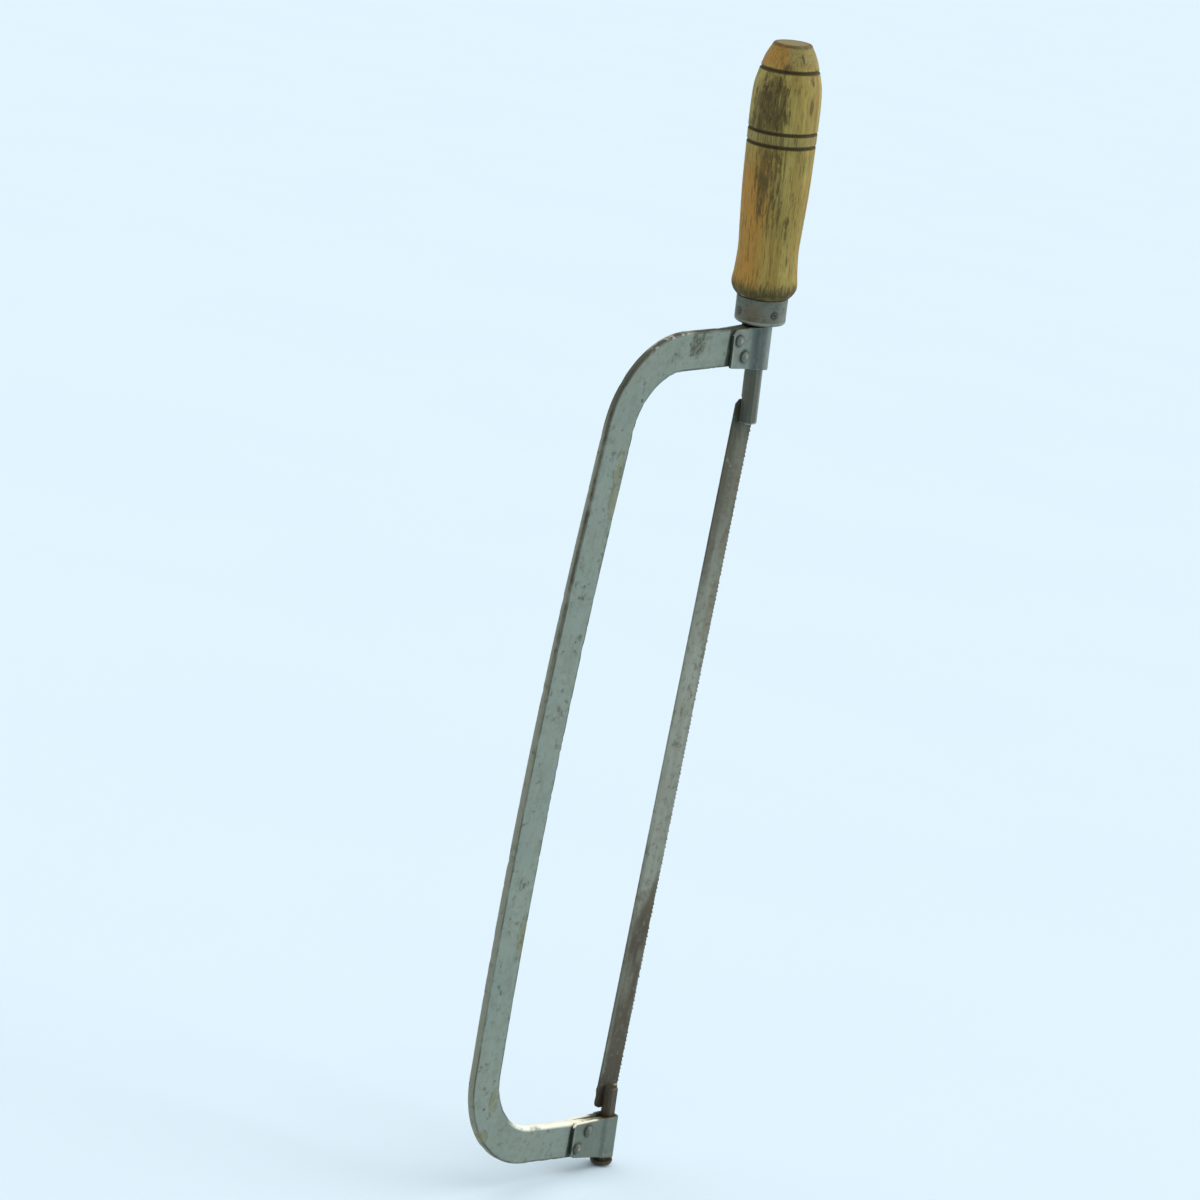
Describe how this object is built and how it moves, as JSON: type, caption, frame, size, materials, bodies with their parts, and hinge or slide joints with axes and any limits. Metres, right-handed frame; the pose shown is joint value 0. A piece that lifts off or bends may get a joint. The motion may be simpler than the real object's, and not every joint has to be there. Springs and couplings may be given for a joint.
{
  "type": "bow saw",
  "caption": "Hand saw with a bent flat-bar frame, a thin toothed blade hooked on pins at both ends, and a turned wooden handle whose nut tensions the blade.",
  "frame": {"origin": "where a wall peg bears under the straight part of the top arm, in the middle of its thickness; the saw hangs from it with its centre of mass straight below", "axes": "+Z along the blade towards the handle, +X from the spine towards the teeth, +Y from the flush side of the frame to the side that the blade hooks on"},
  "size_m": [0.1029, 0.0282, 0.4832],
  "materials": {
    "frame_paint": "worn satin grey-green paint",
    "sleeve_paint": "worn satin grey-green paint",
    "bar_steel": "darkened by age",
    "blade_steel": "dull, browned towards the lower end",
    "ferrule_steel": "darkened by age",
    "handle_wood": "worn ochre varnish with dark stains"
  },
  "bodies": {
    "frame": {"frame_bow": "frame_paint", "upper_sleeve": "sleeve_paint", "lower_sleeve": "sleeve_paint", "upper_rivet_1": "sleeve_paint", "upper_rivet_2": "sleeve_paint", "lower_rivet_1": "sleeve_paint", "lower_rivet_2": "sleeve_paint", "lower_holder": "bar_steel", "lower_holder_pin": "bar_steel", "thrust_washer": "bar_steel"},
    "handle": {"handle_wood": "handle_wood", "ferrule": "ferrule_steel", "ferrule_pin_1": "ferrule_steel", "ferrule_pin_2": "ferrule_steel", "ferrule_pin_3": "ferrule_steel", "ferrule_pin_4": "ferrule_steel", "handle_nut": "bar_steel"},
    "drawbar": {"drawbar": "bar_steel", "drawbar_pin": "bar_steel"},
    "blade": {"blade": "blade_steel"}
  },
  "joints": [
    {"name": "handle_turn", "type": "hinge", "parent": "frame", "child": "handle", "pos_m": [0.0476, 0, -0.01877], "axis": [-0.127, 0, 0.9919], "range_deg": [0, 720]},
    {"name": "drawbar_slide", "type": "slide", "parent": "frame", "child": "drawbar", "axis": [-0.127, 0, 0.9919], "range_m": [-0.002, 0]},
    {"name": "blade_unhook", "type": "slide", "parent": "drawbar", "child": "blade", "axis": [0, 1, 0], "range_m": [0, 0.008]}
  ],
  "couplings": [
    {"joint": "drawbar_slide", "follows": "handle_turn", "m_per_rad": -0.00015915}
  ]
}
